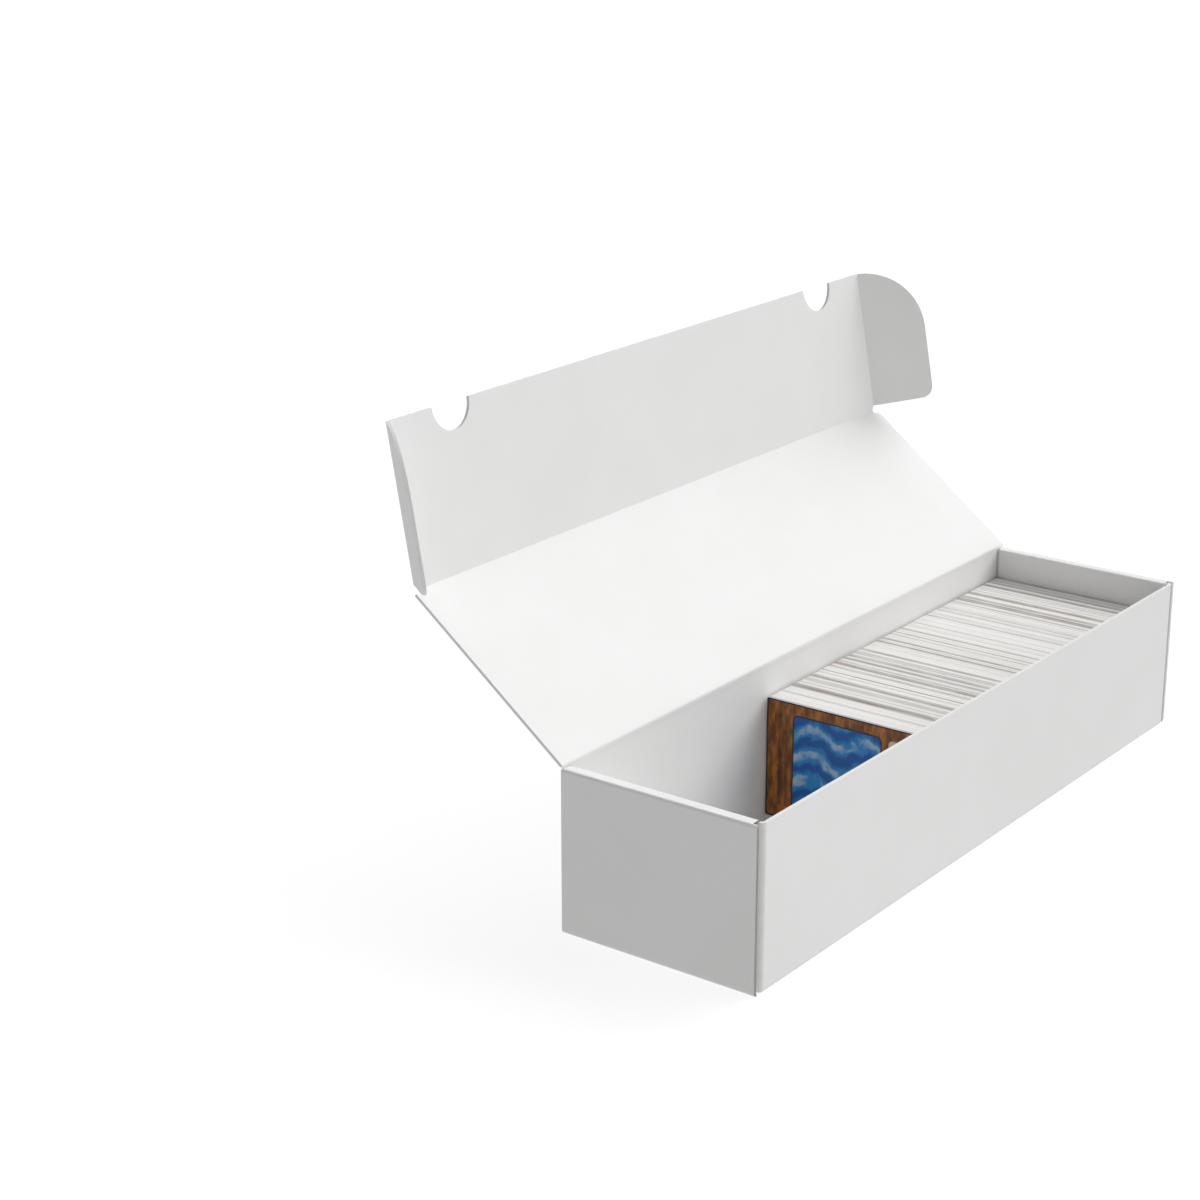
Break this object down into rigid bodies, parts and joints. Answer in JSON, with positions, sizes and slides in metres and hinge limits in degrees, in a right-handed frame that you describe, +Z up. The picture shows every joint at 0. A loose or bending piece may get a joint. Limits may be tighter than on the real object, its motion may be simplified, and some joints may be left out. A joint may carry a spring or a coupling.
{
  "type": "card storage box",
  "caption": "Long white folding board box for trading cards; its creased lid has a front panel with thumb notches and tuck-in ears, and stands open over a row of cards.",
  "frame": {"origin": "middle of the underside of the base, where the box rests", "axes": "+X along the box to its right end, -Y out of the front wall, +Z up; the lid is creased to the back wall at +Y"},
  "size_m": [0.4196, 0.1935, 0.211],
  "materials": {
    "white_board": "matte",
    "card_stock": "matte",
    "card_print": "satin"
  },
  "bodies": {
    "box": {"base_panel": "white_board", "front_wall": "white_board", "back_wall": "white_board", "left_end_outer_wall": "white_board", "right_end_outer_wall": "white_board", "left_end_roll_top": "white_board", "right_end_roll_top": "white_board", "left_end_inner_wall": "white_board", "right_end_inner_wall": "white_board", "front_left_dust_flap": "white_board", "front_right_dust_flap": "white_board", "back_left_dust_flap": "white_board", "back_right_dust_flap": "white_board"},
    "lid": {"lid_top_panel": "white_board"},
    "lid_front": {"lid_front_panel": "white_board"},
    "left_ear": {"lid_left_ear": "white_board"},
    "right_ear": {"lid_right_ear": "white_board"},
    "cards": {"card_row": "card_stock"},
    "front_card": {"front_card": "card_print"}
  },
  "joints": [
    {"name": "lid_crease", "type": "hinge", "parent": "box", "child": "lid", "pos_m": [0, 0.04925, 0.07705], "axis": [-1, 0, 0], "range_deg": [-142.7, 37.3]},
    {"name": "front_panel_crease", "type": "hinge", "parent": "lid", "child": "lid_front", "pos_m": [0, 0.12904, 0.13783], "axis": [-1, 0, 0], "range_deg": [-48, 42]},
    {"name": "left_ear_crease", "type": "hinge", "parent": "lid_front", "child": "left_ear", "pos_m": [-0.188, 0.12904, 0.13783], "axis": [0, -0.1857, -0.9826], "range_deg": [-40, 50]},
    {"name": "right_ear_crease", "type": "hinge", "parent": "lid_front", "child": "right_ear", "pos_m": [0.188, 0.12904, 0.13783], "axis": [0, 0.1857, 0.9826], "range_deg": [-40, 50]},
    {"name": "cards_slide", "type": "slide", "parent": "box", "child": "cards", "axis": [-1, 0, 0], "range_m": [0, 0.1481]},
    {"name": "front_card_lift", "type": "slide", "parent": "cards", "child": "front_card", "axis": [0, 0, 1], "range_m": [0, 0.076]}
  ]
}
